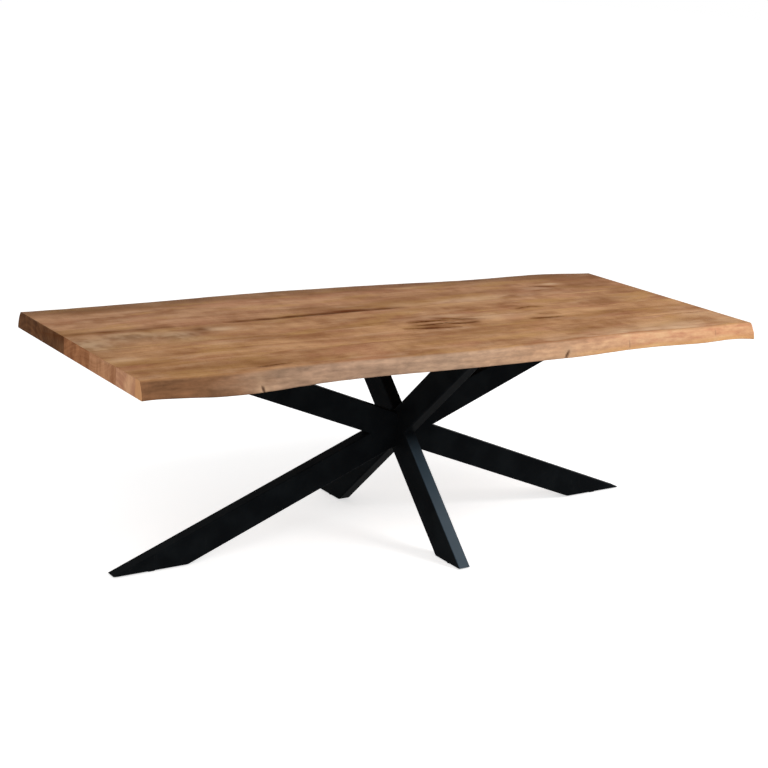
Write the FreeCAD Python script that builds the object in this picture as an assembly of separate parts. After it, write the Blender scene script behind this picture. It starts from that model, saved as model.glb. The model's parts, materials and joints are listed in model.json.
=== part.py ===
import FreeCAD, Part
import math
import os

from FreeCAD import Placement, Rotation, Vector

# Live edge dining table: a glued hardwood top on a welded spider base of rectangular steel tube.
# Millimetres. +X runs along the table, +Y to its back and +Z up.
# The origin is on the floor, under the middle of the top.

# Top
TABLE_HEIGHT = 765.0
TOP_LENGTH = 2400.0
TOP_WIDTH = 980.0
TOP_THICKNESS = 56.0

# Glue joints between the four boards, as distances behind the middle of the top at its two ends
BACK_JOINT_LEFT = 104.0
BACK_JOINT_RIGHT = 140.0
MIDDLE_JOINT_LEFT = -76.0
MIDDLE_JOINT_RIGHT = -62.0
FRONT_JOINT_LEFT = -256.0
FRONT_JOINT_RIGHT = -264.0

# Live edges, at even steps from the left end to the right end
# An inset is how far the foot of the edge lies inside the top's full width
# A slope is how far the upper arris lies inside the foot
FRONT_INSETS = [66.0, 32.0, 28.0, 50.0, 52.0, 41.0, 31.0, 27.0, 24.0, 37.0, 34.0, 20.0, 0.0]
FRONT_SLOPES = [20.0, 38.0, 46.0, 25.0, 11.0, 9.0, 13.0, 20.0, 27.0, 20.0, 12.0, 14.0, 26.0]
BACK_INSETS = [26.0, 26.0, 23.0, 14.0, 4.0, 0.0, 4.0, 8.0, 20.0, 28.0, 24.0, 25.0, 55.0]
BACK_SLOPES = [20.0, 20.0, 18.0, 17.0, 15.0, 15.0, 16.0, 18.0, 20.0, 22.0, 20.0, 20.0, 26.0]
EDGE_CROWN = 5.0
ARRIS_ROUND = 6.0
FOOT_CHAMFER = 3.0

# Spider base
TUBE_DEPTH = 96.0
TUBE_WIDTH = 48.0
TUBE_WALL = 2.5
TUBE_CORNER = 5.0
HUB_HEIGHT = 368.0
LONG_REACH = 944.0
CROSS_REACH = 365.0
HUB_X = 8.0
HUB_Y = 10.0

# Feet
FOOT_PLATE_THICKNESS = 4.0
PAD_ACROSS_FLATS = 38.0
PAD_HEIGHT = 5.0
PAD_CHAMFER = 1.5
STUD_DIAMETER = 8.0
STUD_LENGTH = 32.0
STUD_SEAT_DEPTH = 3.0
NUT_ACROSS_FLATS = 13.0
NUT_HEIGHT = 6.5
THREAD_CLEARANCE = 0.05
STUD_HOLE_CLEARANCE = 0.5

# Mounting plates under the top
MOUNT_PLATE_THICKNESS = 5.0
MOUNT_PLATE_FLANGE = 46.0
MOUNT_PLATE_END = 13.0
MOUNT_PLATE_CORNER = 8.0
SLOT_END_INSET = 36.0
SLOT_SIDE_INSET = 20.0
SLOT_TRAVEL = 8.0
SLOT_CLEARANCE = 0.5

# Mounting bolts, washers and threaded inserts
BOLT_DIAMETER = 8.0
BOLT_LENGTH = 25.0
BOLT_HEAD_ACROSS_FLATS = 13.0
BOLT_HEAD_HEIGHT = 5.3
WASHER_DIAMETER = 22.0
WASHER_THICKNESS = 2.0
WASHER_CLEARANCE = 0.2
INSERT_DIAMETER = 14.0
INSERT_LENGTH = 22.0
INSERT_FIT = 0.05
INSERT_HOLE_SPARE = 4.0
FASTENER_SIDES = 8

# Levels and places that follow from the sizes above
UNDERSIDE = TABLE_HEIGHT - TOP_THICKNESS
ARM_END = UNDERSIDE - MOUNT_PLATE_THICKNESS
SOLE = PAD_HEIGHT
LEG_END = SOLE + FOOT_PLATE_THICKNESS
HUB_RISE = HUB_HEIGHT - SOLE
HUB = Vector(HUB_X, HUB_Y, HUB_HEIGHT)
UP = Vector(0, 0, 1)
WORKSPACE = 2 * (TOP_LENGTH + TABLE_HEIGHT)


# Basic forms

def rounded_rectangle(length, width, radius):
    """Flat face round the origin, with its length along X and its width along Y."""
    arcs = []
    for quarter, (sign_x, sign_y) in enumerate([(1, 1), (-1, 1), (-1, -1), (1, -1)]):
        centre = Vector(sign_x * (length / 2 - radius), sign_y * (width / 2 - radius), 0)
        arcs.append(Part.makeCircle(radius, centre, UP, 90 * quarter, 90 * quarter + 90))
    edges = []
    for arc, following in zip(arcs, arcs[1:] + arcs[:1]):
        edges.append(arc)
        edges.append(Part.makeLine(arc.Vertexes[-1].Point, following.Vertexes[0].Point))
    return Part.Face(Part.Wire(edges))


def prism(sides, across_flats, height, base):
    """Upright prism with regular sides that stands on the point base."""
    turn = 360 / sides
    spoke = Vector(across_flats / 2 / math.cos(math.radians(turn / 2)), 0, 0)
    corners = [base + Rotation(UP, turn * step).multVec(spoke) for step in range(sides + 1)]
    return Part.Face(Part.makePolygon(corners)).extrude(UP * height)


def cylinder(diameter, height, base):
    """Upright cylinder that stands on the point base."""
    return Part.makeCylinder(diameter / 2, height, base)


def between(low, high):
    """Endless horizontal slab between two heights."""
    corner = Vector(-WORKSPACE / 2, -WORKSPACE / 2, low)
    return Part.makeBox(WORKSPACE, WORKSPACE, high - low, corner)


# Boards of the top

def live_edge(side, insets, slopes):
    """Swelling face of a natural edge; side is -1 at the front and 1 at the back."""
    columns = []
    for step, (inset, slope) in enumerate(zip(insets, slopes)):
        x = TOP_LENGTH * (step / (len(insets) - 1) - 0.5)
        foot = TOP_WIDTH / 2 - inset
        middle = foot - slope / 2 + EDGE_CROWN
        arris = foot - slope
        columns.append([
            Vector(x, side * foot, UNDERSIDE),
            Vector(x, side * middle, UNDERSIDE + TOP_THICKNESS / 2),
            Vector(x, side * arris, TABLE_HEIGHT),
        ])
    if side > 0:
        columns.reverse()
    surface = Part.BSplineSurface()
    surface.interpolate(columns)
    return surface.toShape()


def lies_at(edge, axis, value):
    """Whether a whole edge lies at one value of one axis."""
    box = edge.BoundBox
    low = getattr(box, axis + "Min")
    high = getattr(box, axis + "Max")
    return abs(low - value) < 0.01 and abs(high - value) < 0.01


def solid_from(faces):
    """Closed solid from faces that share their edges."""
    shell = Part.makeShell(faces)
    shell.sewShape()
    return Part.makeSolid(shell)


def natural_rims(board, level):
    """Long wavy edges of a board at one level."""
    return [edge for edge in board.Edges
            if lies_at(edge, "Z", level) and edge.Curve.TypeId == "Part::GeomBSplineCurve"]


def outer_board(side, insets, slopes, joint_left, joint_right):
    """Board with one live edge, one glue joint and two sawn ends."""
    edge_face = live_edge(side, insets, slopes)
    ends = {"left": (-TOP_LENGTH / 2, joint_left), "right": (TOP_LENGTH / 2, joint_right)}
    corner = {}
    for end, (x, y) in ends.items():
        for level in (UNDERSIDE, TABLE_HEIGHT):
            corner[end, level] = Vector(x, y, level)
    faces = [edge_face]

    for level in (UNDERSIDE, TABLE_HEIGHT):
        rim = [edge for edge in edge_face.Edges if lies_at(edge, "Z", level)][0]
        tips = sorted((vertex.Point for vertex in rim.Vertexes), key=lambda point: point.x)
        outline = [
            rim,
            Part.makeLine(tips[0], corner["left", level]),
            Part.makeLine(corner["left", level], corner["right", level]),
            Part.makeLine(corner["right", level], tips[-1]),
        ]
        faces.append(Part.Face(Part.Wire(Part.__sortEdges__(outline))))

    for end, (x, y) in ends.items():
        rim = [edge for edge in edge_face.Edges if lies_at(edge, "X", x)][0]
        tips = sorted((vertex.Point for vertex in rim.Vertexes), key=lambda point: point.z)
        outline = [
            rim,
            Part.makeLine(tips[0], corner[end, UNDERSIDE]),
            Part.makeLine(corner[end, UNDERSIDE], corner[end, TABLE_HEIGHT]),
            Part.makeLine(corner[end, TABLE_HEIGHT], tips[-1]),
        ]
        faces.append(Part.Face(Part.Wire(Part.__sortEdges__(outline))))

    joint = [
        corner["left", UNDERSIDE],
        corner["right", UNDERSIDE],
        corner["right", TABLE_HEIGHT],
        corner["left", TABLE_HEIGHT],
        corner["left", UNDERSIDE],
    ]
    faces.append(Part.Face(Part.makePolygon(joint)))

    board = solid_from(faces)
    board = board.makeFillet(ARRIS_ROUND, natural_rims(board, TABLE_HEIGHT))
    return board.makeChamfer(FOOT_CHAMFER, natural_rims(board, UNDERSIDE))


def inner_board(back_left, back_right, front_left, front_right):
    """Board with a straight glue joint on both long sides."""
    half = TOP_LENGTH / 2
    outline = [
        Vector(-half, front_left, UNDERSIDE),
        Vector(half, front_right, UNDERSIDE),
        Vector(half, back_right, UNDERSIDE),
        Vector(-half, back_left, UNDERSIDE),
        Vector(-half, front_left, UNDERSIDE),
    ]
    return Part.Face(Part.makePolygon(outline)).extrude(UP * TOP_THICKNESS)


# Spider base

def limb(reach_x, reach_y, rise, both_ways=False):
    """Outer bar and hollow tube of a limb that leaves the hub and passes the given point from it."""
    toward = Vector(reach_x, reach_y, rise).normalize()
    across = UP.cross(toward).normalize()
    normal = across.cross(toward)
    length = TABLE_HEIGHT / abs(toward.z)
    start = HUB - toward * length if both_ways else HUB
    place = Placement(start, Rotation(normal, across, toward, "ZXY"))
    bore_depth = TUBE_DEPTH - 2 * TUBE_WALL
    bore_width = TUBE_WIDTH - 2 * TUBE_WALL
    sections = [
        rounded_rectangle(TUBE_DEPTH, TUBE_WIDTH, TUBE_CORNER),
        Part.makePlane(bore_depth, bore_width, Vector(-bore_depth / 2, -bore_width / 2, 0)),
    ]
    bars = []
    for section in sections:
        bar = section.extrude(UP * length * (2 if both_ways else 1))
        bar.Placement = place
        bars.append(bar)
    outer, inner = bars
    return outer, outer.cut(inner)


def beside_hub(side):
    """Half space to the left (-1) or right (1) of the cross frame's flat side."""
    face = HUB_X + side * TUBE_WIDTH / 2
    low = face if side > 0 else face - WORKSPACE
    return Part.makeBox(WORKSPACE, 2 * WORKSPACE, 2 * WORKSPACE, Vector(low, -WORKSPACE, -WORKSPACE))


def foot_plate(outer, centre):
    """Plate that closes a leg at the floor, with a hole for the levelling stud."""
    across = STUD_DIAMETER + 2 * STUD_HOLE_CLEARANCE
    hole = prism(FASTENER_SIDES, across, FOOT_PLATE_THICKNESS, centre + UP * SOLE)
    return outer.common(between(SOLE, LEG_END)).cut(hole)


def slot(centre):
    """Upright slot through a mounting plate, long across the grain of the top."""
    width = BOLT_DIAMETER + 2 * SLOT_CLEARANCE
    shift = Vector(0, SLOT_TRAVEL / 2, 0)
    near = prism(FASTENER_SIDES, width, MOUNT_PLATE_THICKNESS, centre - shift)
    far = prism(FASTENER_SIDES, width, MOUNT_PLATE_THICKNESS, centre + shift)
    corner = centre - shift - Vector(near.BoundBox.XLength / 2, 0, 0)
    middle = Part.makeBox(near.BoundBox.XLength, SLOT_TRAVEL, MOUNT_PLATE_THICKNESS, corner)
    return middle.multiFuse([near, far]).removeSplitter()


def mount_plate(centre, reach, along_x):
    """Slotted plate on the end of an arm, and the places of its bolts in plan."""
    cut_length = TUBE_DEPTH * math.hypot(reach, HUB_RISE) / HUB_RISE
    length = cut_length + 2 * MOUNT_PLATE_END
    width = TUBE_WIDTH + 2 * MOUNT_PLATE_FLANGE
    size_x, size_y = (length, width) if along_x else (width, length)
    bolt_x = size_x / 2 - (SLOT_END_INSET if along_x else SLOT_SIDE_INSET)
    bolt_y = size_y / 2 - (SLOT_SIDE_INSET if along_x else SLOT_END_INSET)
    face = rounded_rectangle(size_x, size_y, MOUNT_PLATE_CORNER)
    face.translate(centre + UP * ARM_END)
    plate = face.extrude(UP * MOUNT_PLATE_THICKNESS)
    places = [centre + Vector(sign_x * bolt_x, sign_y * bolt_y, 0) for sign_x in (-1, 1) for sign_y in (-1, 1)]
    for place in places:
        plate = plate.cut(slot(place + UP * ARM_END))
    return plate, places


# Levelling feet

def foot_pad(centre):
    """Six-sided moulded pad with a blind seat for its stud, so that a spanner can turn it."""
    pad = prism(6, PAD_ACROSS_FLATS, PAD_HEIGHT, centre)
    pad = pad.makeChamfer(PAD_CHAMFER, [edge for edge in pad.Edges if lies_at(edge, "Z", 0)])
    return pad.cut(cylinder(STUD_DIAMETER, STUD_SEAT_DEPTH, centre + UP * (PAD_HEIGHT - STUD_SEAT_DEPTH)))


def foot_stud(centre):
    """Stud that stands in its pad and screws into the weld nut."""
    return cylinder(STUD_DIAMETER, STUD_LENGTH, centre + UP * (PAD_HEIGHT - STUD_SEAT_DEPTH))


def foot_nut(centre):
    """Hexagonal weld nut on the foot plate."""
    base = centre + UP * LEG_END
    thread = cylinder(STUD_DIAMETER + 2 * THREAD_CLEARANCE, NUT_HEIGHT, base)
    return prism(6, NUT_ACROSS_FLATS, NUT_HEIGHT, base).cut(thread)


# Fasteners of the top

def mount_bolt(place):
    """Hexagon head bolt driven up from below."""
    seat = place + UP * (ARM_END - WASHER_THICKNESS)
    head = prism(6, BOLT_HEAD_ACROSS_FLATS, BOLT_HEAD_HEIGHT, seat - UP * BOLT_HEAD_HEIGHT)
    return head.fuse(prism(FASTENER_SIDES, BOLT_DIAMETER, BOLT_LENGTH, seat)).removeSplitter()


def mount_washer(place):
    """Flat washer between bolt head and mounting plate."""
    base = place + UP * (ARM_END - WASHER_THICKNESS)
    hole = prism(FASTENER_SIDES, BOLT_DIAMETER + 2 * WASHER_CLEARANCE, WASHER_THICKNESS, base)
    return prism(FASTENER_SIDES, WASHER_DIAMETER, WASHER_THICKNESS, base).cut(hole)


def threaded_insert(place):
    """Threaded sleeve let into the underside of the top."""
    base = place + UP * UNDERSIDE
    thread = prism(FASTENER_SIDES, BOLT_DIAMETER + 2 * THREAD_CLEARANCE, INSERT_LENGTH, base)
    return prism(FASTENER_SIDES, INSERT_DIAMETER, INSERT_LENGTH, base).cut(thread)


def insert_hole(place):
    """Blind hole for a threaded insert."""
    across = INSERT_DIAMETER + 2 * INSERT_FIT
    return prism(FASTENER_SIDES, across, INSERT_LENGTH + INSERT_HOLE_SPARE, place + UP * UNDERSIDE)


pieces = {}

# Cross frame: one tube runs through the hub, and a leg and an arm butt against it
cross_outer, cross_tube = limb(0, -CROSS_REACH, -HUB_RISE, both_ways=True)
pieces["cross_tube"] = cross_tube.common(between(LEG_END, ARM_END))
back_leg_outer, back_leg = limb(0, CROSS_REACH, -HUB_RISE)
pieces["back_leg_tube"] = back_leg.cut(cross_outer).common(between(LEG_END, ARM_END))
front_arm_outer, front_arm = limb(0, -CROSS_REACH, HUB_RISE)
pieces["front_arm_tube"] = front_arm.cut(cross_outer).common(between(LEG_END, ARM_END))

# Long limbs: each leg and arm butt against the side of the cross frame and are mitred to each other
leg_outers = {"front": cross_outer, "back": back_leg_outer}
for end, side in (("left", -1), ("right", 1)):
    leg_outer, leg = limb(side * LONG_REACH, 0, -HUB_RISE)
    arm_outer, arm = limb(side * LONG_REACH, 0, HUB_RISE)
    leg_outers[end] = leg_outer
    pieces[end + "_leg_tube"] = leg.common(between(LEG_END, HUB_HEIGHT)).common(beside_hub(side))
    pieces[end + "_arm_tube"] = arm.common(between(HUB_HEIGHT, ARM_END)).common(beside_hub(side))

# Feet
foot_offsets = {
    "left": Vector(-LONG_REACH, 0, 0),
    "right": Vector(LONG_REACH, 0, 0),
    "front": Vector(0, -CROSS_REACH, 0),
    "back": Vector(0, CROSS_REACH, 0),
}
hub_on_floor = Vector(HUB_X, HUB_Y, 0)
nuts = []
for end, offset in foot_offsets.items():
    centre = hub_on_floor + offset
    half_floor = Part.makeBox(WORKSPACE, WORKSPACE, WORKSPACE, Vector(-WORKSPACE / 2, -WORKSPACE / 2, 0))
    if end == "front":
        half_floor.translate(Vector(0, HUB_Y - WORKSPACE / 2, 0))
    pieces[end + "_foot_plate"] = foot_plate(leg_outers[end].common(half_floor), centre)
    pieces[end + "_foot_pad"] = foot_pad(centre)
    pieces[end + "_foot_stud"] = foot_stud(centre)
    nuts.append(foot_nut(centre))
pieces["foot_nuts"] = Part.makeCompound(nuts)

# Mounting plates over the arms' ends
arm_spread = (ARM_END - HUB_HEIGHT) / HUB_RISE
bolt_places = []
for end, offset in foot_offsets.items():
    along_x = end in ("left", "right")
    reach = LONG_REACH if along_x else CROSS_REACH
    plate, places = mount_plate(hub_on_floor + offset * arm_spread, reach, along_x)
    pieces[end + "_mount_plate"] = plate
    bolt_places += places
pieces["mount_bolts"] = Part.makeCompound([mount_bolt(place) for place in bolt_places])
pieces["mount_washers"] = Part.makeCompound([mount_washer(place) for place in bolt_places])
pieces["threaded_inserts"] = Part.makeCompound([threaded_insert(place) for place in bolt_places])

# Boards of the top, from back to front
boards = {
    "back_board": outer_board(1, BACK_INSETS, BACK_SLOPES, BACK_JOINT_LEFT, BACK_JOINT_RIGHT),
    "upper_middle_board": inner_board(
        BACK_JOINT_LEFT, BACK_JOINT_RIGHT, MIDDLE_JOINT_LEFT, MIDDLE_JOINT_RIGHT),
    "lower_middle_board": inner_board(
        MIDDLE_JOINT_LEFT, MIDDLE_JOINT_RIGHT, FRONT_JOINT_LEFT, FRONT_JOINT_RIGHT),
    "front_board": outer_board(-1, FRONT_INSETS, FRONT_SLOPES, FRONT_JOINT_LEFT, FRONT_JOINT_RIGHT),
}
insert_holes = Part.makeCompound([insert_hole(place) for place in bolt_places])
for name, board in boards.items():
    pieces[name] = board.cut(insert_holes)

os.makedirs("parts", exist_ok=True)
for name, shape in pieces.items():
    shape.exportStep("parts/" + name + ".step")
    print(name, len(shape.Solids), shape.isValid(), round(shape.Volume / 1000, 1), "cm3")
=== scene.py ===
"""Live edge dining table: four oiled hardwood boards on a black steel spider base."""

import json
import math

import bpy
import numpy as np
from mathutils import Matrix, Vector
from mathutils.bvhtree import BVHTree

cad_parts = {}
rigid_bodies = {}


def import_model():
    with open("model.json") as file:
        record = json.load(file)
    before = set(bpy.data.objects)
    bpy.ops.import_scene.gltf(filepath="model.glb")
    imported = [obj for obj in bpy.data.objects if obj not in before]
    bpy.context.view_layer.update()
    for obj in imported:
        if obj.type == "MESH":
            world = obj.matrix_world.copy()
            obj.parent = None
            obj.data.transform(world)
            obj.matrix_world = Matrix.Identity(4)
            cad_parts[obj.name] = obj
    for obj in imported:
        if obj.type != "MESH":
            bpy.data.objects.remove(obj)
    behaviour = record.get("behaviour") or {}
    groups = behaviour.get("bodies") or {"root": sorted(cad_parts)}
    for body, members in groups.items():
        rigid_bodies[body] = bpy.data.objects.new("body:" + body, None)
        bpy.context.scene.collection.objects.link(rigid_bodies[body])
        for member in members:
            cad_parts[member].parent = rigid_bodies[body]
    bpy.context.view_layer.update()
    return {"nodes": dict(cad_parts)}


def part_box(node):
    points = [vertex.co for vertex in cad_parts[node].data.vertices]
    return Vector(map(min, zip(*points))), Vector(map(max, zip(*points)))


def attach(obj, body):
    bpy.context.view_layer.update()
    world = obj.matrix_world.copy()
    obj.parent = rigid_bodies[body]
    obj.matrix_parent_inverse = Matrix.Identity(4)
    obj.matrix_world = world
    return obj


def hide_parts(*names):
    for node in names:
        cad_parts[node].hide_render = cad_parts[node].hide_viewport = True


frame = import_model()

MM = 0.001
FRONT_LOW, FRONT_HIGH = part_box("front_board")
UNDERSIDE = FRONT_LOW.z
TOP_LENGTH = FRONT_HIGH.x - FRONT_LOW.x


# Colours are written as they look on a screen
def tone(red, green, blue):
    def plain(value):
        value /= 255
        return value / 12.92 if value <= 0.04045 else ((value + 0.055) / 1.055) ** 2.4
    return plain(red), plain(green), plain(blue), 1.0


# Greys laid over the live edge for its ripple and flecks
GREY_SPAN = ((0.30, (0.22, 0.22, 0.22, 1)), (0.70, (0.78, 0.78, 0.78, 1)))


# A number that changes over a surface; sums on it add Math nodes
class Amount:
    def __init__(self, finish, socket):
        self.finish, self.socket = finish, socket

    def sum(self, operation, first, second=0.0):
        made = self.finish.node("Math", {"operation": operation}, {0: first, 1: second})
        return Amount(self.finish, made.outputs[0])

    def __add__(self, other):
        return self.sum("ADD", self, other)

    def __radd__(self, other):
        return self.sum("ADD", other, self)

    def __sub__(self, other):
        return self.sum("SUBTRACT", self, other)

    def __rsub__(self, other):
        return self.sum("SUBTRACT", other, self)

    def __mul__(self, other):
        return self.sum("MULTIPLY", self, other)

    def __rmul__(self, other):
        return self.sum("MULTIPLY", other, self)

    def size(self):
        return self.sum("ABSOLUTE", self)

    def more(self, other):
        return self.sum("MAXIMUM", self, other)

    def rise(self, low, high):
        made = self.finish.node(
            "MapRange", {"interpolation_type": "SMOOTHSTEP"},
            {"Value": self, "From Min": low, "From Max": high, "To Min": 0.0, "To Max": 1.0})
        return Amount(self.finish, made.outputs["Result"])


# One surface finish, built from nodes
class Finish:
    def __init__(self, name):
        self.material = bpy.data.materials.new(name)
        self.material.use_nodes = True
        self.tree = self.material.node_tree
        self.tree.nodes.clear()

    def node(self, kind, settings=None, sockets=None):
        made = self.tree.nodes.new("ShaderNode" + kind)
        for key, value in (settings or {}).items():
            if key == "stops":
                self.set_stops(made.color_ramp, value)
            else:
                setattr(made, key, value)
        for key, value in (sockets or {}).items():
            if isinstance(key, int):
                socket = made.inputs[key]
            else:
                socket = next(s for s in made.inputs if s.name == key and s.enabled)
            if isinstance(value, Amount):
                self.tree.links.new(value.socket, socket)
            elif isinstance(value, bpy.types.NodeSocket):
                self.tree.links.new(value, socket)
            else:
                socket.default_value = value
        return made

    def set_stops(self, ramp, stops):
        while len(ramp.elements) < len(stops):
            ramp.elements.new(0.5)
        for element, (position, colour) in zip(ramp.elements, stops):
            element.position, element.color = position, colour

    def place(self):
        return self.node("TexCoord").outputs["Object"]

    def parts(self, vector):
        made = self.node("SeparateXYZ", None, {"Vector": vector})
        return [Amount(self, made.outputs[axis]) for axis in "XYZ"]

    def vector(self, operation, first, second):
        made = self.node("VectorMath", {"operation": operation}, {0: first, 1: second})
        return made.outputs["Value" if operation == "LENGTH" else "Vector"]

    def spread(self, place, stretch, shift, detail, rough):
        moved = self.node("Mapping", None, {"Vector": place, "Scale": stretch, "Location": shift})
        return self.node("TexNoise", None, {
            "Vector": moved.outputs[0], "Scale": 1.0, "Detail": detail, "Roughness": rough})

    def cloud(self, place, stretch, shift=(0, 0, 0), detail=2.0, rough=0.5):
        return Amount(self, self.spread(place, stretch, shift, detail, rough).outputs["Fac"])

    def mix(self, share, first, second, way="MIX"):
        made = self.node("Mix", {"data_type": "RGBA", "blend_type": way},
                         {"Factor": share, "A": first, "B": second})
        return next(s for s in made.outputs if s.enabled)

    def ramp(self, share, stops):
        return self.node("ValToRGB", {"stops": stops}, {"Fac": share}).outputs["Color"]

    def drawn(self, name):
        return Amount(self, self.node("Attribute", {"attribute_name": name}).outputs["Fac"])

    def surface(self, sockets, height=None, depth=0.0):
        if height is not None:
            sockets["Normal"] = self.node("Bump", None, {
                "Strength": 1.0, "Distance": depth, "Height": height}).outputs["Normal"]
        shader = self.node("BsdfPrincipled", None, sockets)
        self.node("OutputMaterial", None, {"Surface": shader.outputs[0]})
        return self.material


# Oiled hardwood of one board: growth rings about its pith, streaks, pores, sapwood and open checks
def oiled_hardwood(name, seed, pith, dark, light, end_dark, end_light, edge_stops, sap_side=0):
    wood = Finish(name)
    place = wood.place()
    x, y, z = wood.parts(place)
    shift = (seed * 7.3, seed * 3.1, seed * 5.7)

    # The grain wanders as it runs along the board
    slow = wood.spread(place, (1.3, 4.2, 4.2), shift, 2.0, 0.5).outputs["Color"]
    sway = wood.vector("MULTIPLY", wood.vector("SUBTRACT", slow, (0.5, 0.5, 0.5)), (0, 0.09, 0.07))
    bent = wood.vector("ADD", place, sway)
    across = wood.vector("MULTIPLY", wood.vector("SUBTRACT", bent, (0, pith[0], pith[1])), (0, 1, 1))
    radius = Amount(wood, wood.vector("LENGTH", across, (0, 0, 0)))
    rings = Amount(wood, wood.node("TexNoise", {"noise_dimensions": "1D"}, {
        "W": radius * 95 + seed, "Scale": 1.0, "Detail": 3.0, "Roughness": 0.6}).outputs["Fac"])

    # Broad bands, mottled figure, streaks and pores
    bands = wood.cloud(bent, (1.5, 8, 8), shift, 2.0, 0.5)
    mottle = wood.cloud(bent, (5.6, 14, 14), shift, 3.0, 0.5)
    flame = wood.cloud(place, (24, 11, 11), shift, 2.0, 0.5)
    streaks = wood.cloud(bent, (9, 100, 100), shift, 3.0, 0.6)
    lines = wood.cloud(bent, (1.6, 190, 190), shift, 3.0, 0.6)
    fine = wood.cloud(bent, (26, 520, 520), shift, 2.0, 0.6)
    pores = wood.cloud(bent, (95, 1500, 1500), shift, 1.0, 0.5).rise(0.62, 0.74)
    figure = bands * 0.32 + mottle * 0.46 + flame * 0.18
    figure = figure + streaks * 0.12 + lines * 0.06 + rings * 0.14 - 0.14
    colour = wood.mix(figure.rise(0.32, 0.68), dark, light)

    # Soft patches of other tones lie over the figure
    pink = wood.cloud(bent, (3.4, 13, 13), (seed, 2, 9), 3.0, 0.55).rise(0.48, 0.66)
    gold = wood.cloud(bent, (3.8, 14, 14), (seed, 8, 4), 3.0, 0.55).rise(0.48, 0.66)
    beige = wood.cloud(bent, (4.6, 17, 17), (seed, 1, 3), 3.0, 0.5).rise(0.54, 0.72)
    olive = wood.cloud(bent, (2.4, 11, 11), (seed, 5, 6), 2.0, 0.5).rise(0.52, 0.70)
    colour = wood.mix(pink * 0.45, colour, tone(168, 112, 82))
    colour = wood.mix(gold * 0.50, colour, tone(182, 138, 82))
    colour = wood.mix(beige * 0.45, colour, tone(196, 156, 120))
    colour = wood.mix(olive * 0.45, colour, tone(138, 95, 55))
    colour = wood.mix(streaks.rise(0.58, 0.72) * 0.14, colour, tone(112, 64, 30))
    colour = wood.mix(lines.rise(0.50, 0.66) * 0.26, colour, tone(112, 64, 30))
    colour = wood.mix(fine.rise(0.55, 0.72) * 0.28, colour, tone(116, 68, 34))
    colour = wood.mix(pores * 0.45, colour, tone(84, 48, 24))
    colour = wood.mix(wood.drawn("back_rim") * 0.46, colour, tone(84, 62, 44))

    # Sawn ends drink more oil
    facing = wood.node("NewGeometry").outputs["Normal"]
    sawn = wood.parts(facing)[0].size().rise(0.65, 0.85)
    blot = wood.cloud(place, (2, 26, 12), shift, 3.0, 0.6)
    end_figure = rings * 0.28 + blot * 0.80 - 0.05
    end_colour = wood.mix(end_figure.rise(0.26, 0.76), end_dark, end_light)
    dots = wood.cloud(place, (40, 900, 900), shift, 1.0, 0.5).rise(0.58, 0.70)
    end_colour = wood.mix(dots * 0.3, end_colour, tone(74, 44, 26))
    if sap_side:
        ragged = (wood.cloud(place, (3, 40, 14), shift, 3.0, 0.6) - 0.5) * 0.05
        outer = (y * sap_side - 0.415 - 0.03 * x + ragged).rise(-0.008, 0.008)
        end_colour = wood.mix(outer * 0.75, end_colour, tone(214, 158, 108))
    colour = wood.mix(sawn, colour, end_colour)

    # The live edge shows the sapwood under the bark
    wander = (wood.cloud(place, (5, 30, 30), shift, 2.0, 0.5) - 0.5) * 0.14
    sap = wood.ramp(x * (1 / TOP_LENGTH) + 0.5 + wander, edge_stops)
    fleck = wood.cloud(place, (24, 50, 62), shift, 3.0, 0.6)
    ripple = wood.cloud(place, (6, 38, 66), shift, 2.0, 0.55)
    sap = wood.mix(0.38, sap, wood.ramp(ripple, GREY_SPAN), "OVERLAY")
    sap = wood.mix(0.32, sap, wood.ramp(fleck, GREY_SPAN), "OVERLAY")
    sap = wood.mix(fine.rise(0.55, 0.72) * 0.16, sap, tone(120, 82, 54))
    low_rim = (1 - (z - UNDERSIDE).rise(0.004, 0.024)) * x.rise(0.15, 0.60)
    sap = wood.mix(low_rim * 0.45, sap, tone(224, 172, 106))
    bark = wood.drawn("bark_side") * (1 - sawn)
    colour = wood.mix(bark, colour, sap)

    # Curled grain, stains around knots, pale sapwood, and the dark of open checks
    curls = wood.cloud(place, (17, 17, 17), shift, 2.0, 0.55).rise(0.34, 0.66)
    curled = wood.mix(curls, tone(132, 98, 69), tone(184, 152, 120))
    colour = wood.mix(wood.drawn("curl") * (1 - sawn), colour, curled)
    stain = wood.drawn("stain")
    colour = wood.mix(stain, colour, tone(88, 40, 8))
    colour = wood.mix(wood.drawn("pale") * mottle.rise(0.3, 0.6), colour, tone(208, 172, 138))
    check = wood.drawn("check")
    colour = wood.mix(check, colour, tone(46, 15, 3))

    rough = 0.52 + streaks * 0.12 + fine * 0.06
    rough = rough + bark * 0.10 + sawn * 0.10 + stain * 0.40 + check * 0.40
    height = fine * 0.5 + streaks * 0.4 - pores * 0.7 + bark * fleck * 0.8
    return wood.surface({
        "Base Color": colour, "Roughness": rough, "Specular IOR Level": 0.03,
    }, height, 0.0006)


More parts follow.
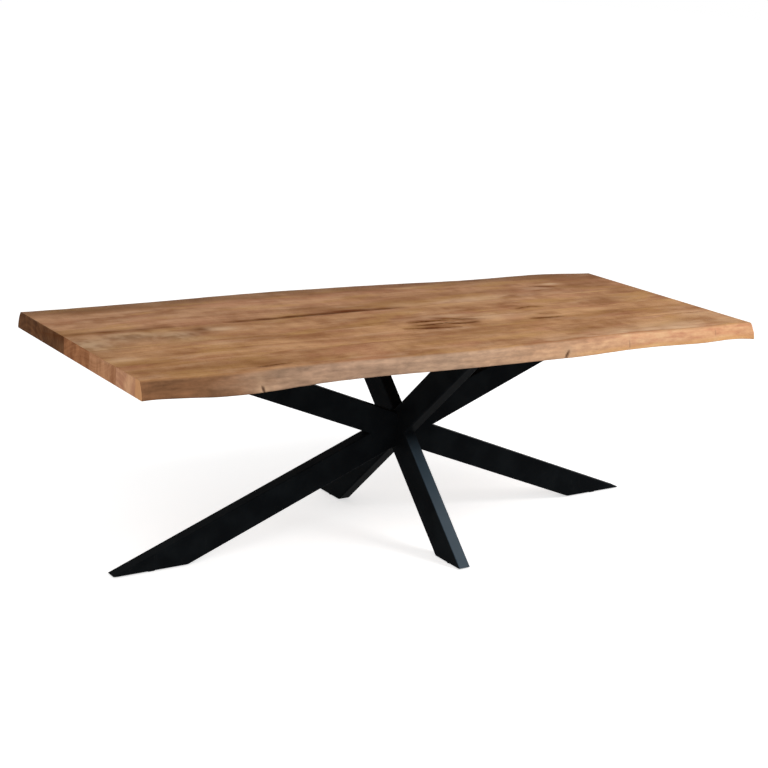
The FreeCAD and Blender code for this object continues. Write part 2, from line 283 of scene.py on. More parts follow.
# Satin black powder coat with a fine orange peel, rubbed a little near the floor, with a painted sheen on
# the front and back legs and painted shade on the faces under the top
def powder_coat():
    coat = Finish("satin_black_powder_coat")
    place = coat.place()
    height_above_floor = coat.parts(place)[2]
    peel = coat.cloud(place, (620, 620, 620), (3, 1, 4), 2.0, 0.55)
    drift = coat.cloud(place, (9, 9, 9), (5, 9, 2), 3.0, 0.55)
    scuffs = coat.cloud(place, (160, 160, 24), (2, 7, 1), 3.0, 0.6).rise(0.60, 0.70)
    low = 1 - height_above_floor.rise(0.01, 0.14)

    # Painted sheen: a bluish-grey colour and a thin coat on the upward faces of the front and back legs,
    # below the hub, stand in for a reflection
    facing = coat.node("NewGeometry").outputs["Normal"]
    below_hub = 1 - height_above_floor.rise(0.36, 0.42)
    outward = coat.parts(place)[1].size().rise(0.052, 0.125)
    slope = coat.parts(facing)[2]
    upward = slope.rise(0.5, 0.8)
    painted_shade_faces = slope.size().rise(0.5, 0.8)
    painted_sheen = upward * outward * below_hub * (0.75 + drift * 0.5)
    colour = coat.mix(drift.rise(0.35, 0.7), tone(15, 17, 19), tone(22, 25, 27))
    # Painted shade: the level and sloping faces above the hub, under the top, are darker
    colour = coat.mix(painted_shade_faces * (1 - below_hub) * 0.8, colour, tone(10, 11, 12))
    # Painted sheen laid into the base colour
    colour = coat.mix(painted_sheen, colour, tone(54, 69, 80))
    colour = coat.mix(low * scuffs * 0.25, colour, tone(48, 48, 47))
    rough = 0.36 + drift * 0.08 + peel * 0.04 + low * scuffs * 0.15
    return coat.surface({
        "Base Color": colour, "Roughness": rough, "Specular IOR Level": 0.005,
        "Specular Tint": (0.72, 0.88, 1.0, 1.0), "Coat Weight": painted_sheen * 0.12, "Coat Roughness": 0.3,
    }, peel, 0.00008)


# Black oxide bolts and washers
def black_oxide():
    oxide = Finish("black_oxide_steel")
    place = oxide.place()
    spots = oxide.cloud(place, (700, 700, 700), (1, 4, 2), 3.0, 0.6)
    wear = oxide.cloud(place, (160, 160, 160), (6, 2, 8), 2.0, 0.5).rise(0.55, 0.7)
    colour = oxide.mix(wear * 0.5, tone(38, 38, 40), tone(82, 80, 78))
    return oxide.surface({
        "Base Color": colour, "Metallic": 0.85, "Roughness": 0.42 + spots * 0.16 - wear * 0.08,
    }, spots, 0.00005)


# Zinc plate on studs, nuts and inserts
def zinc_plate():
    zinc = Finish("zinc_plated_steel")
    place = zinc.place()
    spangle = zinc.cloud(place, (420, 420, 420), (2, 2, 7), 3.0, 0.6)
    dull = zinc.cloud(place, (60, 60, 60), (8, 1, 3), 2.0, 0.5)
    colour = zinc.mix(spangle.rise(0.35, 0.7), tone(176, 178, 178), tone(204, 203, 196))
    return zinc.surface({
        "Base Color": colour, "Metallic": 1.0, "Roughness": 0.26 + dull * 0.24,
    }, spangle, 0.00004)


# Matt moulded plastic of the levelling pads
def moulded_plastic():
    plastic = Finish("matt_pad_plastic")
    place = plastic.place()
    grain = plastic.cloud(place, (1300, 1300, 1300), (4, 4, 1), 2.0, 0.6)
    dust = plastic.cloud(place, (70, 70, 40), (9, 3, 3), 3.0, 0.6).rise(0.5, 0.75)
    colour = plastic.mix(dust * 0.4, tone(24, 24, 25), tone(58, 56, 53))
    return plastic.surface({
        "Base Color": colour, "Roughness": 0.62 + grain * 0.16, "Specular IOR Level": 0.4,
    }, grain, 0.00008)


WAVE_COUNT = 8


# Gentle uneven waves over two directions, drawn once for each seed
def waves(seed, first, second, first_length, second_length):
    draw = np.random.default_rng(seed)
    total = 0.0
    for _ in range(WAVE_COUNT):
        turn = draw.uniform(0.5, 1.6) / first_length * first
        turn = turn + draw.uniform(-1.3, 1.3) / second_length * second
        total = total + np.sin(2 * math.pi * (turn + draw.uniform()))
    return total / math.sqrt(WAVE_COUNT)


# The same along the table only
def waves_along(seed, x, length):
    return waves(seed, x, 0 * x, length, 1.0)


# The solid's face on one side of a board, found by a ray from outside
def side_face(tree, places, heights, side):
    found = np.empty((len(places), len(heights)))
    for i, x in enumerate(places):
        for k, z in enumerate(heights):
            hit = tree.ray_cast(Vector((x, side, z)), Vector((0, -side, 0)))[0]
            found[i, k] = hit.y
    return found


# A slow running mean keeps the facets of the solid out of the live edge
def eased(values, reach=5):
    padded = np.concatenate([values[:1]] * reach + [values] + [values[-1:]] * reach)
    window = np.ones(2 * reach + 1) / (2 * reach + 1)
    smooth = np.apply_along_axis(lambda column: np.convolve(column, window, "valid"), 0, padded)
    smooth[:reach + 1] = values[:reach + 1]
    smooth[-reach - 1:] = values[-reach - 1:]
    return smooth


# Drying checks in the top: points along each one, width and depth in millimetres
CHECKS = (
    (((-52, -72), (-8, -75), (20, -76), (122, -81)), 10.0, 4.2),
    (((-66, -117), (8, -122), (132, -106)), 8.5, 3.4),
    (((-120, -141), (-81, -146), (-19, -158), (104, -178)), 9.0, 4.0),
    (((60, -52), (120, -66), (188, -90), (262, -104)), 7.5, 3.2),
    (((72, -124), (142, -137), (222, -130)), 9.0, 3.8),
    (((-826, -391), (-760, -388), (-684, -378)), 6.0, 3.0),
    (((768, 278), (830, 258), (888, 238)), 8.0, 3.6),
    (((460, -22), (520, -4), (560, -4), (600, -22)), 6.0, 2.0),
    (((480, -106), (540, -110), (590, -118)), 4.0, 1.4),
    (((410, -156), (490, -163), (580, -160)), 8.0, 3.2),
)

# How far the stain reaches beside a check, in millimetres
CHECK_HALO = 15

# Knots and darker heartwood in the top: centre, half length and half width in millimetres, strength
KNOTS = (
    ((-758, 60), 36, 22, 0.66),
    ((-951, 292), 16, 7, 0.40),
    ((-475, 117), 44, 13, 0.80),
    ((-150, 135), 100, 19, 0.95),
    ((-200, -48), 18, 14, 0.28),
    ((20, -135), 86, 34, 0.58),
    ((140, -98), 76, 30, 0.30),
    ((150, -130), 46, 14, 0.45),
    ((832, 258), 90, 22, 0.40),
    ((515, -164), 80, 16, 0.46),
    ((710, -192), 210, 32, 0.24),
    ((220, 78), 210, 30, 0.22),
    ((660, 245), 440, 38, 0.36),
    ((-130, 180), 180, 44, 0.26),
    ((1040, 320), 230, 110, 0.42),
    ((-900, -330), 280, 70, 0.30),
    ((-750, -362), 110, 40, 0.44),
)

# Pale patches of sapwood, given in the same way
PALE = (
    ((-682, 50), 46, 24, 0.66),
    ((-1150, -200), 60, 35, 0.45),
    ((892, 287), 38, 14, 0.80),
    ((760, 228), 60, 34, 0.50),
    ((112, -110), 44, 6, 0.70),
    ((44, -100), 30, 7, 0.60),
    ((110, -34), 140, 20, 0.58),
    ((310, -80), 160, 44, 0.44),
    ((80, -192), 140, 17, 0.46),
    ((420, 155), 320, 34, 0.52),
    ((860, -396), 320, 44, 0.46),
    ((1100, -260), 90, 90, 0.34),
    ((-900, 260), 420, 90, 0.16),
)

# Greyer wood with curled grain towards the left end, given in the same way
CURLS = (
    ((-1170, -4), 90, 88, 0.82),
    ((-1020, 40), 140, 58, 0.85),
    ((-860, 10), 90, 66, 0.76),
    ((-745, 55), 60, 30, 0.55),
)

# Dark grain lines and the stain along the split: points, half width in millimetres, strength
GRAIN_LINES = (
    (((-650, 114), (-480, 117), (-350, 122), (-240, 127), (-170, 134), (-60, 130), (110, 121)),
     16, 1.1),
    (((-760, 112), (-188, 122), (240, 126)), 60, 0.22),
    (((-1300, 116), (-1100, 123), (-960, 117), (-815, 108)), 19, 0.70),
    (((540, -166), (760, -172), (1000, -172)), 10, 0.34),
    (((-120, 60), (180, 48), (420, 60)), 8, 0.20),
    (((-560, -60), (-200, -40), (40, -48)), 7, 0.18),
    (((-1100, -190), (-700, -170), (-380, -196)), 8, 0.18),
)

# The pale rim of the top above the front edge, given in the same way
PALE_LINES = (
    (((250, -430), (600, -414), (860, -424), (1160, -446)), 26, 0.95),
)

# Shares of a line's length over which its bends are rounded
BEND_STEPS = (-0.16, -0.08, 0.0, 0.08, 0.16)

# How far the top darkens inside its back edge
BACK_RIM = 68 * MM

# Nicks in the live edges, lengths in millimetres: place, height of the middle, width, tallness, lean, depth
FRONT_NICKS = (
    (-832, 8, 12, 12, -0.2, 3.0),
    (325, 11, 16, 18, 0.6, 2.5),
    (620, 20, 6, 18, 0.1, 1.0),
    (1020, 34, 6, 14, 0.0, 0.8),
)
BACK_NICKS = (
    (-870, 24, 8, 15, 0.2, 1.6),
    (-310, 14, 12, 15, -0.4, 2.6),
    (580, 30, 7, 13, 0.3, 1.4),
)


# A line through points with its bends rounded, and how it tapers to its ends
def along_line(points, x):
    px, py = (np.array(points) * MM).T
    length = px[-1] - px[0]
    share = (x - px[0]) / length
    inside = (share > 0) & (share < 1)
    line = np.mean([np.interp(x + length * step, px, py) for step in BEND_STEPS], 0)
    return line, np.where(inside, np.sin(np.pi * np.clip(share, 0, 1)), 0)


CHECK_WANDER = 1.3 * MM
GRAIN_WANDER = 2.0 * MM
THINNEST = 0.01 * MM


# How deep a point of the top lies and how dark its check is
def checks_at(x, y):
    depth, dark = np.zeros_like(x), np.zeros_like(x)
    for number, (points, width, deep) in enumerate(CHECKS):
        line, taper = along_line(points, x)
        half = width * MM / 2 * taper ** 0.6 * (1 + 0.2 * waves_along(40 + number, x, 0.03))
        line = line + CHECK_WANDER * waves_along(60 + number, x, 0.05)
        shape = np.clip(1 - ((y - line) / np.maximum(half, THINNEST)) ** 2, 0, 1)
        shape = np.where(taper > 0, shape, 0)
        depth = np.maximum(depth, deep * MM * shape)
        dark = np.maximum(dark, shape ** 0.5 * min(1.0, 0.40 + deep / 5))
    return depth, dark


# Soft oval patches
def patches_at(patches, x, y):
    total = np.zeros_like(x)
    for (px, py), length, width, strength in patches:
        far = ((x - px * MM) / (length * MM)) ** 2 + ((y - py * MM) / (width * MM)) ** 2
        total = np.maximum(total, strength * np.exp(-far))
    return total


# Soft wavering bands along lines
def lines_at(lines, x, y):
    total = np.zeros_like(x)
    for number, (points, width, strength) in enumerate(lines):
        line, taper = along_line(points, x)
        line = line + GRAIN_WANDER * waves_along(80 + number, x, 0.18)
        band = np.exp(-((y - line) / (width * MM)) ** 2) * taper ** 0.4
        patchy = 0.85 + 0.16 * waves_along(90 + number, x, 0.12)
        total = np.maximum(total, strength * band * patchy)
    return total


# Dark wood round the knots, along the grain lines and beside every check
def stain_at(x, y):
    stain = patches_at(KNOTS, x, y)
    beside = tuple((points, CHECK_HALO, 0.24 * deep) for points, _, deep in CHECKS)
    return np.clip(np.maximum(stain, lines_at(GRAIN_LINES + beside, x, y)), 0, 1)


# Pale wood in patches and along the rim
def pale_at(x, y):
    return np.clip(np.maximum(patches_at(PALE, x, y), lines_at(PALE_LINES, x, y)), 0, 1)


GLUE_WIDTH = 0.35 * MM
GLUE_SWELL = 0.12 * MM
GLUE_DEPTH = 0.5 * MM
GLUE_DARK = 0.30
GLUE_THINNEST = 0.1 * MM
SPLIT_START = -630 * MM
SPLIT_LENGTH = 710 * MM
SPLIT_WIDTH = 3.3 * MM
SPLIT_DEPTH = 6.0 * MM


# How the glue line shows on the top: nearly closed, with one long open split in the back one
def glue_line(name, x):
    width = GLUE_WIDTH + GLUE_SWELL * waves_along(7, x, 0.2)
    depth = GLUE_DEPTH + 0 * x
    dark = GLUE_DARK + 0 * x
    if name == "back":
        along = np.clip((x - SPLIT_START) / SPLIT_LENGTH, 0, 1)
        split = np.sin(np.pi * along) ** 0.5 * np.clip(1 + 0.35 * waves_along(8, x, 0.16), 0.3, 2)
        width = width + SPLIT_WIDTH * split
        depth = depth + SPLIT_DEPTH * split
        dark = np.clip(dark + split, 0, 1)
    return np.maximum(width, GLUE_THINNEST), depth, dark


# Heights of the live edge's waves, from broad to small
BROAD_SWELL = 0.7 * MM
RIDGE_SWELL = 0.35 * MM
SMALL_SWELL = 0.12 * MM


# How far the live edge falls back behind the solid or swells before it, with nicks and their pale rims
def edge_relief(seed, x, z, nicks):
    broad = waves(seed, x, z, 0.17, 0.12)
    ridges = waves(seed + 1, x, z, 0.10, 0.022)
    small = waves(seed + 2, x, z, 0.030, 0.010)
    fall = BROAD_SWELL * broad + RIDGE_SWELL * ridges + SMALL_SWELL * small
    dark, pale = np.zeros_like(fall), np.zeros_like(fall)
    for place, middle, width, tall, lean, deep in nicks:
        centre = place * MM + lean * (z - middle * MM)
        far = ((x - centre) / (width * MM / 2)) ** 2 + ((z - middle * MM) / (tall * MM)) ** 2
        shape = np.clip(1 - far, 0, 1)
        fall = fall + deep * MM * shape
        dark = np.maximum(dark, min(0.9, deep / 3) * shape ** 0.7)
        pale = np.maximum(pale, min(0.8, deep / 4) * np.exp(-far / 8) * (1 - shape))
    return fall, dark, pale


# The grid of a board's skin
SECTION_STEP = 5 * MM
TOP_STEP = 2 * MM
TOP_SPANS = 140
UNDER_SPANS = 8
END_ROUND = 1.2 * MM
CREASE = math.radians(40)

# Rays keep this far inside the solid's ends and faces
END_INSET = 0.3 * MM
FOOT_INSET = 0.1 * MM
TOP_INSET = 0.05 * MM

# Levels on the live edge in millimetres: near its foot, an even run, and down from the top
FOOT_LEVELS = [0, 1.5, 3]
RUN_START = 5
RUN_STOP = 7
RUN_ROWS = 20
ARRIS_LEVELS = np.array([6, 5, 4, 3, 2.2, 1.5, 0.9, 0.5, 0.2, 0])
BARK_FADE = 7 * MM


# One closed mesh round all sections, with the marks painted on its points
def skin(name, x, y, z, marks, finish):
    sections, around = y.shape
    points = np.stack([x[:, None] + 0 * y, y, z], 2).reshape(-1, 3)
    here = np.arange(sections * around).reshape(sections, around)
    after = np.roll(here, -1, 1)
    faces = np.stack([here[:-1], here[1:], after[1:], after[:-1]], 2).reshape(-1, 4).tolist()
    faces = [face[::-1] for face in faces]
    faces += [here[0].tolist(), here[-1][::-1].tolist()]
    mesh = bpy.data.meshes.new(name + "_skin")
    mesh.from_pydata(points.tolist(), [], faces)
    for drawn, values in marks.items():
        mesh.attributes.new(drawn, "FLOAT", "POINT").data.foreach_set(
            "value", values.astype(np.float32).ravel())
    mesh.shade_smooth()
    mesh.set_sharp_from_angle(angle=CREASE)
    mesh.materials.append(finish)
    made = bpy.data.objects.new(name + "_skin", mesh)
    bpy.context.scene.collection.objects.link(made)
    return made


# A board's skin, section by section along its length, over the space of its solid
def board(name, low_side, high_side, seed, finish):
    solid = frame["nodes"][name]
    corners = [v.co.copy() for v in solid.data.vertices]
    tree = BVHTree.FromPolygons(corners, [tuple(p.vertices) for p in solid.data.polygons])
    low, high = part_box(name)
    bottom, top = low.z, high.z
    thick = top - bottom

    # Sections, closer together where the sawn ends are eased
    rim = END_ROUND * np.array([0, 0.12, 0.4, 1.0])
    inner = np.linspace(low.x, high.x, round((high.x - low.x) / SECTION_STEP) + 1)[1:-1]
    x = np.concatenate([low.x + rim, inner, (high.x - rim)[::-1]])
    from_end = np.minimum(x - low.x, high.x - x)
    ease = END_ROUND - np.sqrt(END_ROUND ** 2 - np.clip(END_ROUND - from_end, 0, None) ** 2)
    reach = np.clip(x, low.x + END_INSET, high.x - END_INSET)

    # Each side is a row of points from the underside up to the top
    def live_side(side):
        run = np.linspace(RUN_START, thick / MM - RUN_STOP, RUN_ROWS)
        levels = np.concatenate([FOOT_LEVELS, run, thick / MM - ARRIS_LEVELS]) * MM
        heights = bottom + np.clip(levels, FOOT_INSET, thick - TOP_INSET)
        y = eased(side_face(tree, reach, heights, side))
        grid_x, grid_z = np.meshgrid(x, levels, indexing="ij")
        nicks = FRONT_NICKS if side < 0 else BACK_NICKS
        fall, dark, pale = edge_relief(seed, grid_x, grid_z, nicks)
        y = np.clip(y - side * (fall + ease[:, None]), low.y, high.y)
        bark = np.clip((thick - levels) / BARK_FADE, 0, 1) ** 0.7 + 0 * grid_x
        return y, bottom + levels + 0 * grid_x, bark, dark, pale

    def glued_side(side, line):
        face = side_face(tree, reach, [(bottom + top) / 2], side)[:, 0]
        width, depth, dark = glue_line(line, x)
        level = 0 * x
        rows_y = np.stack([face, face, face, face - side * 0.35 * width, face - side * width], 1)
        rows_z = np.stack([
            level + bottom, level + bottom + thick / 2, top - depth, top - 0.5 * depth, level + top], 1)
        rows_dark = np.stack([0 * dark, 0 * dark, dark, dark, 0.7 * dark], 1)
        return rows_y, rows_z, 0 * rows_y, rows_dark, 0 * rows_y

    def side_rows(side, line):
        return live_side(side) if line == "live" else glued_side(side, line)

    low_y, low_z, low_bark, low_dark, low_pale = side_rows(-1, low_side)
    high_y, high_z, high_bark, high_dark, high_pale = side_rows(1, high_side)

    # Top and underside between the two sides
    count = min(round((high.y - low.y) / TOP_STEP), TOP_SPANS)
    share = np.linspace(0, 1, count + 1)[1:-1]
    top_y = low_y[:, -1:] + (high_y[:, -1:] - low_y[:, -1:]) * share
    top_x = x[:, None] + 0 * top_y
    deep, dark = checks_at(top_x, top_y)
    share = np.linspace(1, 0, UNDER_SPANS + 1)[1:-1]
    under_y = low_y[:, :1] + (high_y[:, :1] - low_y[:, :1]) * share

    # Once round each section: up one side, over the top, down the other side and back below
    def around(low_rows, top_rows, high_rows, under_rows=0 * under_y):
        return np.concatenate([low_rows, top_rows, high_rows[:, ::-1], under_rows], 1)

    y = around(low_y, top_y, high_y, under_y)
    z = around(low_z, top - deep, high_z, bottom + 0 * under_y)
    z = np.clip(z, bottom + ease[:, None], top - ease[:, None])
    back_rim = np.exp(-((high_y[:, -1:] - y) / BACK_RIM) ** 2) if high_side == "live" else 0 * y
    made = skin(name, x, y, z, {
        "bark_side": around(low_bark, 0 * top_y, high_bark),
        "check": around(low_dark, dark, high_dark),
        "stain": around(0 * low_y, stain_at(top_x, top_y), 0 * high_y),
        "pale": around(low_pale, pale_at(top_x, top_y), high_pale),
        "curl": around(0 * low_y, patches_at(CURLS, top_x, top_y), 0 * high_y),
        "back_rim": back_rim,
    }, finish)
    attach(made, "table")
    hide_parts(name)


# Tones of the sapwood along the live edges, from the left end to the right
FRONT_EDGE = ((0.0, tone(138, 96, 66)), (0.09, tone(124, 88, 62)), (0.13, tone(142, 106, 80)),
              (0.18, tone(164, 132, 107)), (0.27, tone(170, 137, 113)), (0.45, tone(184, 151, 125)),
              (0.64, tone(188, 147, 115)), (0.80, tone(214, 164, 126)), (1.0, tone(211, 156, 116)))
BACK_EDGE = ((0.0, tone(150, 106, 72)), (0.25, tone(176, 132, 98)), (0.55, tone(166, 120, 86)),
             (0.80, tone(190, 146, 108)), (1.0, tone(150, 106, 74)))

board("back_board", "back", "live", 11, oiled_hardwood(
    "oiled_wood_back", 1.0, (0.36, 0.60), tone(133, 85, 51), tone(192, 145, 107),
    tone(78, 48, 28), tone(126, 85, 55), BACK_EDGE))
board("upper_middle_board", "middle", "back", 23, oiled_hardwood(
    "oiled_wood_upper_middle", 2.0, (-0.05, 0.52), tone(136, 87, 51), tone(196, 150, 108),
    tone(132, 82, 50), tone(188, 129, 88), FRONT_EDGE))
board("lower_middle_board", "front", "middle", 37, oiled_hardwood(
    "oiled_wood_lower_middle", 3.0, (-0.10, 0.88), tone(138, 89, 51), tone(198, 151, 107),
    tone(160, 107, 74), tone(206, 151, 110), FRONT_EDGE))
board("front_board", "live", "front", 53, oiled_hardwood(
    "oiled_wood_front", 4.0, (-0.24, 0.62), tone(136, 88, 51), tone(198, 152, 109),
    tone(182, 126, 96), tone(226, 174, 132), FRONT_EDGE, -1))


# A small kit for building node trees that make shapes
class ShapeTree:
    def __init__(self, name, sizes):
        self.tree = bpy.data.node_groups.new(name, "GeometryNodeTree")
        face = self.tree.interface
        face.new_socket("Geometry", in_out="INPUT", socket_type="NodeSocketGeometry")
        self.ids = {}
        for label in sizes:
            made = face.new_socket(label, in_out="INPUT", socket_type="NodeSocketFloat")
            self.ids[label] = made.identifier
        face.new_socket("Geometry", in_out="OUTPUT", socket_type="NodeSocketGeometry")
        self.given = self.tree.nodes.new("NodeGroupInput")
        self.result = self.tree.nodes.new("NodeGroupOutput")

    def node(self, kind, settings=None, sockets=None):
        made = self.tree.nodes.new(kind)
        for key, value in (settings or {}).items():
            setattr(made, key, value)
        for key, value in (sockets or {}).items():
            socket = made.inputs[key] if isinstance(key, int) else next(
                s for s in made.inputs if s.name == key and s.enabled)
            for one in value if isinstance(value, list) else [value]:
                if isinstance(one, bpy.types.NodeSocket):
                    self.tree.links.new(one, socket)
                else:
                    socket.default_value = one
        return made.outputs[0] if len(made.outputs) else None

    def size(self, label):
        return self.given.outputs[label]

    def sum(self, operation, first, second):
        return self.node("ShaderNodeMath", {"operation": operation}, {0: first, 1: second})

    def close(self, shape, finish):
        whole = self.node("GeometryNodeRealizeInstances", None, {"Geometry": shape})
        painted = self.node("GeometryNodeSetMaterial", None, {"Geometry": whole, "Material": finish})
        self.tree.links.new(painted, self.result.inputs["Geometry"])

    # The tree's result as a plain mesh piece
    def make(self, name, points, edges, values):
        seed_mesh = bpy.data.meshes.new(name + "_places")
        seed_mesh.from_pydata([tuple(p) for p in points], edges, [])
        carrier = bpy.data.objects.new(name + "_places", seed_mesh)
        bpy.context.scene.collection.objects.link(carrier)
        modifier = carrier.modifiers.new(name, "NODES")
        modifier.node_group = self.tree
        for label, value in values.items():
            modifier[self.ids[label]] = value
        graph = bpy.context.evaluated_depsgraph_get()
        mesh = bpy.data.meshes.new_from_object(carrier.evaluated_get(graph))
        carrier.modifiers.remove(modifier)
        bpy.data.objects.remove(carrier)
        mesh.name = name
        made = bpy.data.objects.new(name, mesh)
        bpy.context.scene.collection.objects.link(made)
        return made


# Middles of the separate small solids of a node, which stand further apart than this
def middles(name, apart=20 * MM):
    groups = []
    for vertex in frame["nodes"][name].data.vertices:
        spot = vertex.co
        near = next((g for g in groups if (g["first"].xy - spot.xy).length < apart), None)
        if near is None:
            groups.append({"first": spot.copy(), "low": spot.copy(), "high": spot.copy()})
        else:
            near["low"] = Vector(map(min, near["low"], spot))
            near["high"] = Vector(map(max, near["high"], spot))
    return [(g["low"] + g["high"]) / 2 for g in groups]


coat_black = powder_coat()
oxide = black_oxide()
zinc = zinc_plate()
plastic = moulded_plastic()

HEAD_CORNERS = 15 * MM
SHANK_ACROSS = 8 * MM
WASHER_ACROSS = 22 * MM

# Share of the head's height under its crown, and how far crown and washer narrow
HEAD_BLOCK = 0.72
HEAD_CROWN = 0.28
CROWN_NARROWS = 0.86
WASHER_NARROWS = 0.985


# Hexagon bolts and round washers under the mounting plates
def bolts_and_washers():
    bolt_low, bolt_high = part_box("mount_bolts")
    wash_low, wash_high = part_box("mount_washers")
    spots = middles("mount_bolts")
    sizes = ("Head across corners", "Head height", "Shank across", "Shank length",
             "Washer across", "Washer thickness")
    tree = ShapeTree("bolt_and_washer", sizes)
    head, tall, shank, deep, wide, thin = (tree.size(label) for label in sizes)

    def half(value):
        return tree.sum("MULTIPLY", value, 0.5)

    def lifted(shape, height):
        offset = tree.node("ShaderNodeCombineXYZ", None, {"Z": height})
        return tree.node("GeometryNodeTransform", None, {"Geometry": shape, "Translation": offset})

    def round_bar(around, across, length, top_share=1.0):
        return tree.node("GeometryNodeMeshCone", {"fill_type": "NGON"}, {
            "Vertices": around, "Radius Bottom": half(across), "Depth": length,
            "Radius Top": tree.sum("MULTIPLY", half(across), top_share)})

    # Heights count from the face of the head that bears on the washer, downwards
    block = tree.sum("MULTIPLY", tall, HEAD_BLOCK)
    crown = tree.sum("MULTIPLY", tall, HEAD_CROWN)
    down = tree.sum("MULTIPLY", tall, -HEAD_BLOCK)
    prism = lifted(round_bar(6, head, block), down)
    slope = tree.node("GeometryNodeTransform", None, {
        "Geometry": round_bar(6, head, crown, CROWN_NARROWS), "Rotation": (math.pi, 0, 0)})
    slope = lifted(slope, down)
    bar = round_bar(20, shank, deep)
    washer = round_bar(32, wide, thin, WASHER_NARROWS)
    whole = tree.node("GeometryNodeJoinGeometry", None, {"Geometry": [prism, slope, bar, washer]})
    placed = tree.node("GeometryNodeInstanceOnPoints", None, {
        "Points": tree.given.outputs["Geometry"], "Instance": whole})
    tree.close(placed, oxide)

    made = tree.make("mount_bolts_and_washers", [(p.x, p.y, wash_low.z) for p in spots], [], {
        "Head across corners": HEAD_CORNERS, "Head height": wash_low.z - bolt_low.z,
        "Shank across": SHANK_ACROSS, "Shank length": bolt_high.z - wash_low.z,
        "Washer across": WASHER_ACROSS, "Washer thickness": wash_high.z - wash_low.z})
    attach(made, "table")
    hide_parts("mount_bolts", "mount_washers")


BEAD_SPACING = 3.2 * MM
BEAD_RADIUS = 3.0 * MM
BEAD_DROP = 1 * MM
RIM_CATCH = 0.1 * MM


# Weld beads where the arms meet their mounting plates
def welds():
    sizes = ("Bead spacing", "Bead radius")
    tree = ShapeTree("weld_bead", sizes)
    spacing, radius = (tree.size(label) for label in sizes)
    path = tree.node("GeometryNodeMeshToCurve", None, {"Mesh": tree.given.outputs["Geometry"]})
    even = tree.node("GeometryNodeResampleCurve", {"mode": "LENGTH"}, {
        "Curve": path, "Length": spacing})
    drop = tree.node("GeometryNodeMeshIcoSphere", None, {"Radius": radius, "Subdivisions": 2})
    way = tree.node("GeometryNodeInputTangent")
    turn = tree.node("FunctionNodeAlignRotationToVector", {"axis": "X"}, {"Vector": way})
    swell = tree.node("FunctionNodeRandomValue", {"data_type": "FLOAT"}, {
        "Min": 0.85, "Max": 1.1, "Seed": 5})
    beads = tree.node("GeometryNodeInstanceOnPoints", None, {
        "Points": even, "Instance": drop, "Rotation": turn, "Scale": swell})
    tree.close(beads, coat_black)

    points, edges = [], []
    for name in ("left_arm_tube", "right_arm_tube", "front_arm_tube", "cross_tube"):
        arm = frame["nodes"][name]
        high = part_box(name)[1].z
        ends = np.array([v.co for v in arm.data.vertices if v.co.z > high - RIM_CATCH])
        (x0, y0), (x1, y1) = ends[:, :2].min(0), ends[:, :2].max(0)
        first = len(points)
        level = high - BEAD_DROP
        points += [(x0, y0, level), (x1, y0, level), (x1, y1, level), (x0, y1, level)]
        edges += [(first + k, first + (k + 1) % 4) for k in range(4)]
    made = tree.make("arm_welds", points, edges, {
        "Bead spacing": BEAD_SPACING, "Bead radius": BEAD_RADIUS})
    for polygon in made.data.polygons:
        polygon.use_smooth = True
    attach(made, "table")


bolts_and_washers()
welds()


# The remaining solids keep their shape and get their finish
def dress(finish, *names):
    for name in names:
        node = frame["nodes"][name]
        if node.material_slots:
            for slot in node.material_slots:
                slot.material = finish
        else:
            node.data.materials.append(finish)


LIMBS = ("left", "right", "front", "back")
dress(coat_black, "cross_tube", "back_leg_tube", "front_arm_tube", "left_leg_tube", "left_arm_tube",
      "right_leg_tube", "right_arm_tube")
dress(coat_black, *[limb + "_mount_plate" for limb in LIMBS])
dress(coat_black, *[limb + "_foot_plate" for limb in LIMBS])
dress(plastic, *[limb + "_foot_pad" for limb in LIMBS])
dress(zinc, "foot_nuts", "threaded_inserts", *[limb + "_foot_stud" for limb in LIMBS])


FLOOR_REACH = 60
FLOOR_GLOW = 0.62
ROOM_LIGHT = 0.5


# Rays that end up in the picture as something seen or mirrored
def seen_rays(finish):
    path = finish.node("LightPath")
    seen = Amount(finish, path.outputs["Is Camera Ray"])
    return seen.more(Amount(finish, path.outputs["Is Glossy Ray"])).more(
        Amount(finish, path.outputs["Is Transmission Ray"]))


# A pale floor that keeps the shadow and otherwise runs into the white behind
def pale_floor():
    paper = Finish("pale_floor_paper")
    place = paper.place()
    mottle = paper.cloud(place, (3, 3, 3), (0, 0, 0), 2.0, 0.5)
    matt = paper.node("BsdfDiffuse", None, {
        "Color": paper.mix(mottle, tone(226, 226, 226), tone(229, 229, 229))})
    glow = paper.node("Emission", None, {"Color": (1, 1, 1, 1), "Strength": FLOOR_GLOW})
    lifted = paper.node("AddShader", None, {0: matt.outputs[0], 1: glow.outputs[0]})
    choose = paper.node("MixShader", None, {
        0: seen_rays(paper), 1: matt.outputs[0], 2: lifted.outputs[0]})
    paper.node("OutputMaterial", None, {"Surface": choose.outputs[0]})
    near, far = -FLOOR_REACH, FLOOR_REACH
    mesh = bpy.data.meshes.new("floor")
    mesh.from_pydata([(near, near, 0), (far, near, 0), (far, far, 0), (near, far, 0)], [], [(0, 1, 2, 3)])
    mesh.materials.append(paper.material)
    floor = bpy.data.objects.new("floor", mesh)
    bpy.context.scene.collection.objects.link(floor)


LIGHT_AIM = (0, 0, 0.6)
SOFTBOX_ACROSS = 2.6


# A round softbox aimed at the table
def soft_light(name, place, power):
    lamp = bpy.data.lights.new(name, "AREA")
    lamp.shape, lamp.size, lamp.energy = "DISK", SOFTBOX_ACROSS, power
    holder = bpy.data.objects.new(name, lamp)
    holder.location = place
    holder.rotation_euler = (Vector(LIGHT_AIM) - Vector(place)).to_track_quat("-Z", "Y").to_euler()
    bpy.context.scene.collection.objects.link(holder)


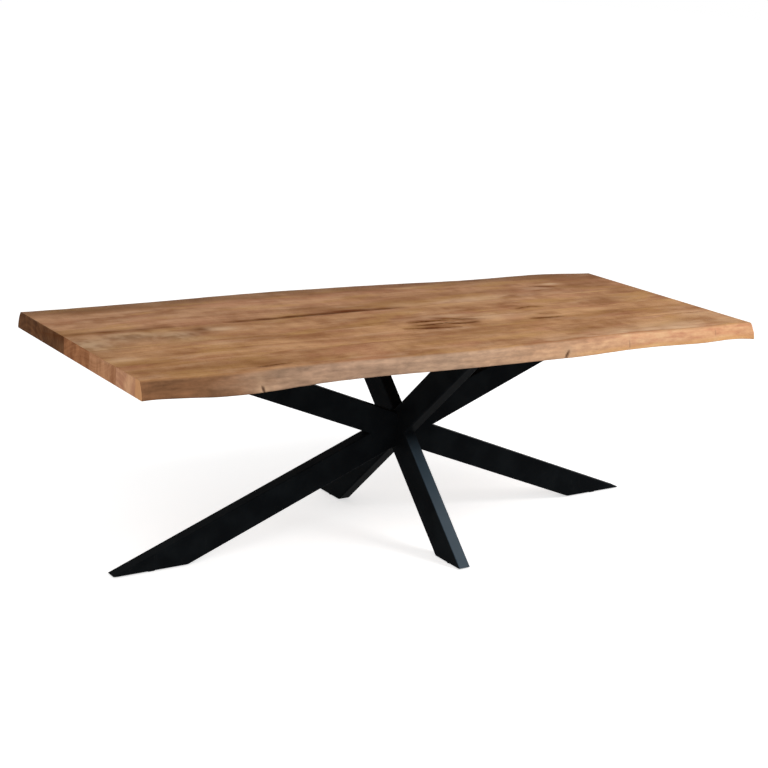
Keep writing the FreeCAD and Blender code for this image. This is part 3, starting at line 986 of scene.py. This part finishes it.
# White where it is seen, and a softer even light elsewhere
def white_room():
    world = bpy.data.worlds.new("white_room")
    bpy.context.scene.world = world
    world.use_nodes = True
    nodes, links = world.node_tree.nodes, world.node_tree.links
    nodes.clear()
    path = nodes.new("ShaderNodeLightPath")
    even, white = nodes.new("ShaderNodeBackground"), nodes.new("ShaderNodeBackground")
    even.inputs["Color"].default_value = (1, 1, 1, 1)
    even.inputs["Strength"].default_value = ROOM_LIGHT
    white.inputs["Strength"].default_value = 1.0
    white.inputs["Color"].default_value = (1, 1, 1, 1)
    choose, out = nodes.new("ShaderNodeMixShader"), nodes.new("ShaderNodeOutputWorld")
    seen = path.outputs["Is Camera Ray"]
    for kind in ("Is Glossy Ray", "Is Transmission Ray"):
        either = nodes.new("ShaderNodeMath")
        either.operation = "MAXIMUM"
        links.new(seen, either.inputs[0])
        links.new(path.outputs[kind], either.inputs[1])
        seen = either.outputs[0]
    links.new(seen, choose.inputs[0])
    links.new(even.outputs[0], choose.inputs[1])
    links.new(white.outputs[0], choose.inputs[2])
    links.new(choose.outputs[0], out.inputs["Surface"])


pale_floor()
white_room()
soft_light("key_softbox", place=(3.0, -2.6, 3.9), power=150)
soft_light("fill_softbox", place=(-3.6, -2.4, 3.2), power=60)

# The photograph's viewpoint: place in metres, angles in degrees, lens and picture in pixels
VIEW_PLACE = (-3.0772, -4.136, 1.9506)
VIEW_YAW = 35.9907
VIEW_PITCH = 15.484
VIEW_ROLL = 4.3695
FOCAL_PIXELS = 1553.68
PICTURE_PIXELS = 768
SENSOR_WIDTH = 36
VIEW_REACH = 300


# The camera, tilted a little to one side as the picture is
def viewpoint():
    yaw, pitch, roll = (math.radians(angle) for angle in (VIEW_YAW, VIEW_PITCH, VIEW_ROLL))
    ahead = Vector((math.sin(yaw) * math.cos(pitch), math.cos(yaw) * math.cos(pitch), -math.sin(pitch)))
    right = Vector((math.cos(yaw), -math.sin(yaw), 0))
    up = right.cross(ahead)
    across = math.cos(roll) * right + math.sin(roll) * up
    over = math.cos(roll) * up - math.sin(roll) * right
    turn = Matrix((across, over, -ahead)).transposed()
    lens = bpy.data.cameras.new("viewpoint")
    lens.sensor_width = SENSOR_WIDTH
    lens.lens = SENSOR_WIDTH * FOCAL_PIXELS / PICTURE_PIXELS
    lens.clip_end = VIEW_REACH
    camera = bpy.data.objects.new("viewpoint", lens)
    camera.matrix_world = Matrix.Translation(VIEW_PLACE) @ turn.to_4x4()
    bpy.context.scene.collection.objects.link(camera)
    bpy.context.scene.camera = camera


viewpoint()
bpy.context.scene.view_settings.view_transform = "Standard"

bpy.context.view_layer.update()
